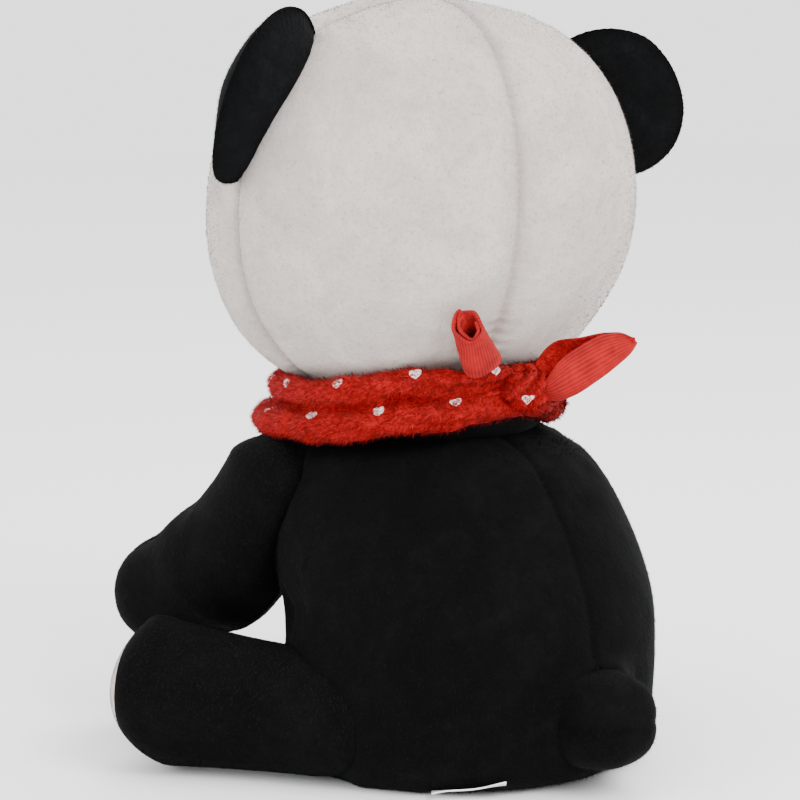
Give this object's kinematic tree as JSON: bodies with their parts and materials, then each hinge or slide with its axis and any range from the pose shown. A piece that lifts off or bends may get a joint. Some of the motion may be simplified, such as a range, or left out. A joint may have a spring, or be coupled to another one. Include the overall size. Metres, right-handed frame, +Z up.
{
  "type": "plush panda",
  "caption": "Seated plush panda with a stuffed body, sewn-on head, ears, arms, legs and tail that flex at their roots, and a red neckerchief tied behind its neck.",
  "frame": {"origin": "middle of the flat base panel, on the surface that the panda sits on", "axes": "+Z up, the panda faces -Y, its own left side is +X"},
  "size_m": [0.2408, 0.2132, 0.2783],
  "materials": {
    "white_plush": "short-pile plush, brushed nap",
    "black_plush": "short-pile plush, brushed nap",
    "sole_plush": "short-pile plush",
    "red_fleece": "fleece with small printed hearts, ribbed knit on the reverse",
    "fibre_filling": "loose polyester fibre",
    "pellet_cloth": "plain woven cotton",
    "label_satin": "satin ribbon",
    "black_thread": "twisted embroidery thread",
    "black_plastic": "polished",
    "washer_plastic": "moulded"
  },
  "bodies": {
    "torso": {"torso_left_panel": "black_plush", "torso_right_panel": "black_plush", "belly_panel": "white_plush", "base_panel": "black_plush", "care_label": "label_satin", "torso_filling": "fibre_filling", "pellet_bag": "pellet_cloth"},
    "neck": {"neck_filling": "fibre_filling"},
    "head": {"eye_patch_left": "black_plush", "eye_patch_right": "black_plush", "eye_left": "black_plastic", "eye_right": "black_plastic", "eye_washer_left": "washer_plastic", "eye_washer_right": "washer_plastic", "nose": "black_plastic", "nose_washer": "washer_plastic", "mouth_stitching": "black_thread", "face_left_panel": "white_plush", "face_right_panel": "white_plush", "head_back_left_panel": "white_plush", "head_back_right_panel": "white_plush", "head_filling": "fibre_filling"},
    "ear_left": {"ear_left_back_panel": "black_plush", "ear_left_front_panel": "black_plush", "ear_left_filling": "fibre_filling"},
    "ear_right": {"ear_right_back_panel": "black_plush", "ear_right_front_panel": "black_plush", "ear_right_filling": "fibre_filling"},
    "arm_left": {"arm_left_outer_panel": "black_plush", "arm_left_inner_panel": "black_plush", "arm_left_filling": "fibre_filling"},
    "arm_right": {"arm_right_outer_panel": "black_plush", "arm_right_inner_panel": "black_plush", "arm_right_filling": "fibre_filling"},
    "leg_left": {"leg_left_outer_panel": "black_plush", "leg_left_inner_panel": "black_plush", "leg_left_sole": "sole_plush", "leg_left_filling": "fibre_filling"},
    "leg_right": {"leg_right_outer_panel": "black_plush", "leg_right_inner_panel": "black_plush", "leg_right_sole": "sole_plush", "leg_right_filling": "fibre_filling"},
    "tail": {"tail_upper_panel": "black_plush", "tail_lower_panel": "black_plush", "tail_filling": "fibre_filling"},
    "scarf": {"scarf_lower_fold": "red_fleece", "scarf_upper_fold": "red_fleece", "scarf_knot": "red_fleece", "scarf_drape": "red_fleece", "scarf_rolled_end": "red_fleece", "scarf_open_end": "red_fleece"}
  },
  "joints": [
    {"name": "neck_turn", "type": "hinge", "parent": "torso", "child": "neck", "pos_m": [0, -0.018, 0.127], "axis": [0, 0, 1], "range_deg": [-12, 20], "stiffness_Nm_per_rad": 0.3},
    {"name": "head_nod", "type": "hinge", "parent": "neck", "child": "head", "pos_m": [0, -0.018, 0.127], "axis": [1, 0, 0], "range_deg": [-2, 8], "stiffness_Nm_per_rad": 0.9},
    {"name": "left_ear_fold", "type": "hinge", "parent": "head", "child": "ear_left", "pos_m": [0.07155, -0.02778, 0.23671], "axis": [-0.4338, 0.1476, 0.8888], "range_deg": [-10, 10], "stiffness_Nm_per_rad": 0.03},
    {"name": "right_ear_fold", "type": "hinge", "parent": "head", "child": "ear_right", "pos_m": [-0.07163, -0.00944, 0.23252], "axis": [0.3958, -0.0115, 0.9183], "range_deg": [-10, 10], "stiffness_Nm_per_rad": 0.03},
    {"name": "left_arm_lift", "type": "hinge", "parent": "torso", "child": "arm_left", "pos_m": [0.04157, -0.03686, 0.094], "axis": [-0.9653, -0.2611, 0], "range_deg": [0, 30], "stiffness_Nm_per_rad": 0.15},
    {"name": "right_arm_lift", "type": "hinge", "parent": "torso", "child": "arm_right", "pos_m": [-0.04157, -0.03686, 0.094], "axis": [-0.9653, 0.2611, 0], "range_deg": [0, 30], "stiffness_Nm_per_rad": 0.15},
    {"name": "left_leg_swing", "type": "hinge", "parent": "torso", "child": "leg_left", "pos_m": [0.055, 0.001, 0.0255], "axis": [-0.593, -0.3851, 0.7071], "range_deg": [-12, 20], "stiffness_Nm_per_rad": 0.3},
    {"name": "right_leg_swing", "type": "hinge", "parent": "torso", "child": "leg_right", "pos_m": [-0.055, 0.001, 0.0255], "axis": [-0.593, 0.3851, -0.7071], "range_deg": [-12, 20], "stiffness_Nm_per_rad": 0.3},
    {"name": "tail_wag", "type": "hinge", "parent": "torso", "child": "tail", "pos_m": [0, 0.062, 0.0265], "axis": [0, 0, 1], "range_deg": [-8, 8], "stiffness_Nm_per_rad": 0.03},
    {"name": "scarf_turn", "type": "hinge", "parent": "torso", "child": "scarf", "pos_m": [0, -0.03, 0.1265], "axis": [-0.0046, -0.087, 0.9962], "range_deg": [-8, 8]}
  ]
}
